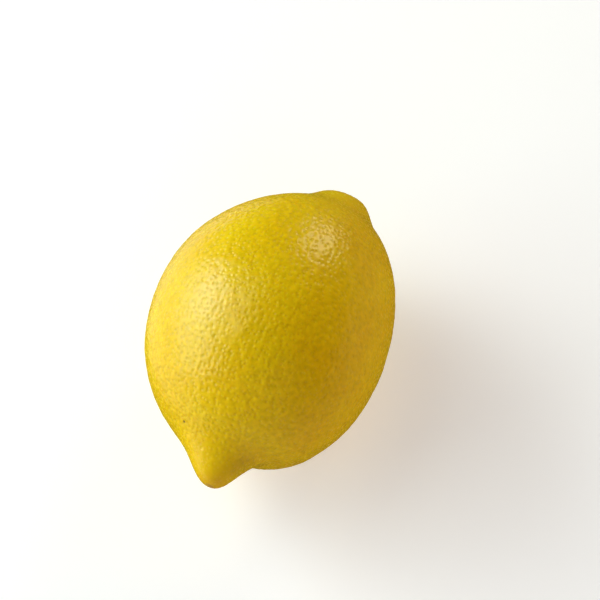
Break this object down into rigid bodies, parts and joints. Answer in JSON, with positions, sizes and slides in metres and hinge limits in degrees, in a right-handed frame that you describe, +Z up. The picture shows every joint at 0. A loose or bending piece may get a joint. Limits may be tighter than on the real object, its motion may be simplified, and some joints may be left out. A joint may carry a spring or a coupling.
{
  "type": "lemon",
  "caption": "Whole lemon lying on its side, an egg-shaped citrus fruit with a nipple at one end and a stem button at the other.",
  "frame": {"origin": "on the ground, under the middle of the lemon's box", "axes": "+X along the fruit from the nipple at the blossom end to the button at the stem end, +Z up, the lemon lying on its side"},
  "size_m": [0.0872, 0.0614, 0.06],
  "materials": {
    "peel": "glossy waxy lemon peel with small pits",
    "stem_button": "dry, matte"
  },
  "bodies": {
    "root": {"fruit": "peel", "button": "stem_button"}
  },
  "joints": []
}
